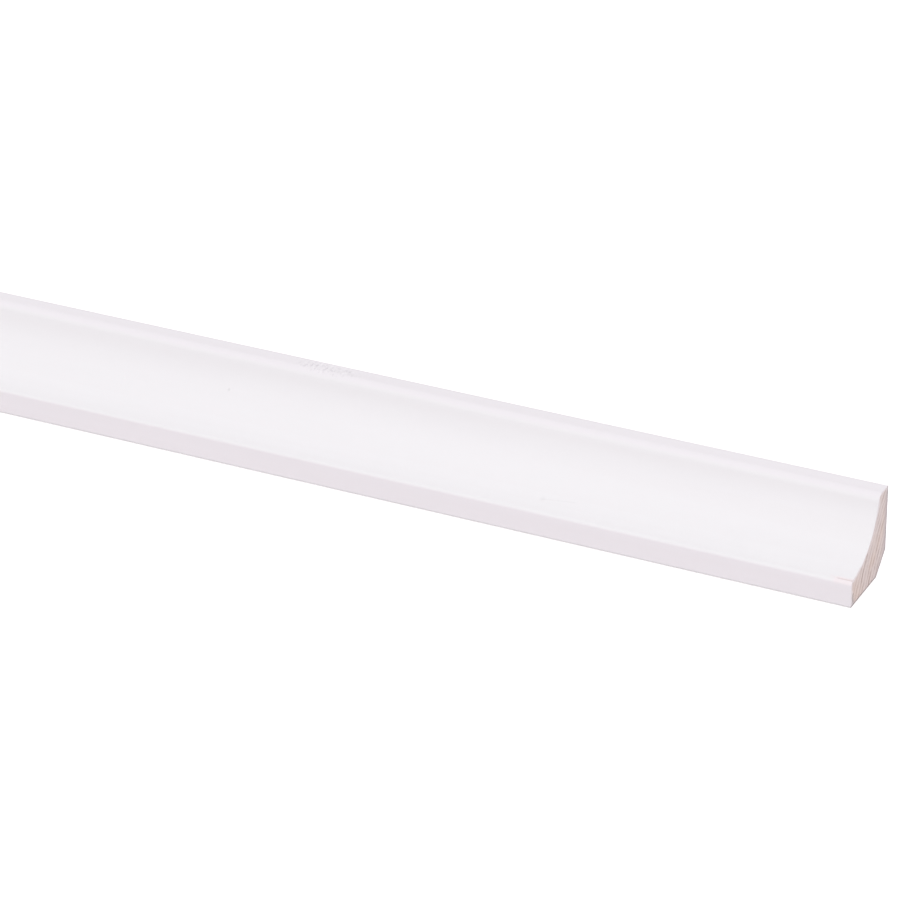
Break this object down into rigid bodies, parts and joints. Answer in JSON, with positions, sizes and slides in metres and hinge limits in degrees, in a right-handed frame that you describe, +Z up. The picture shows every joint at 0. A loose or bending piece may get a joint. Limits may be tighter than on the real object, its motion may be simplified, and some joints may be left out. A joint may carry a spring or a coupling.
{
  "type": "cove moulding",
  "caption": "Length of white-primed softwood cove moulding with a hollow front, two flat lands, a bevelled back corner and square-sawn bare ends.",
  "frame": {"origin": "middle of the length and depth, on the bottom face", "axes": "+X along the length, +Y out of the back face that goes against the wall, +Z up; the hollow looks to -Y and up"},
  "size_m": [2.4, 0.028, 0.028],
  "materials": {
    "primed_softwood": "matt white primer on every planed face, bare sawn end grain"
  },
  "bodies": {
    "root": {"cove_moulding": "primed_softwood"}
  },
  "joints": []
}
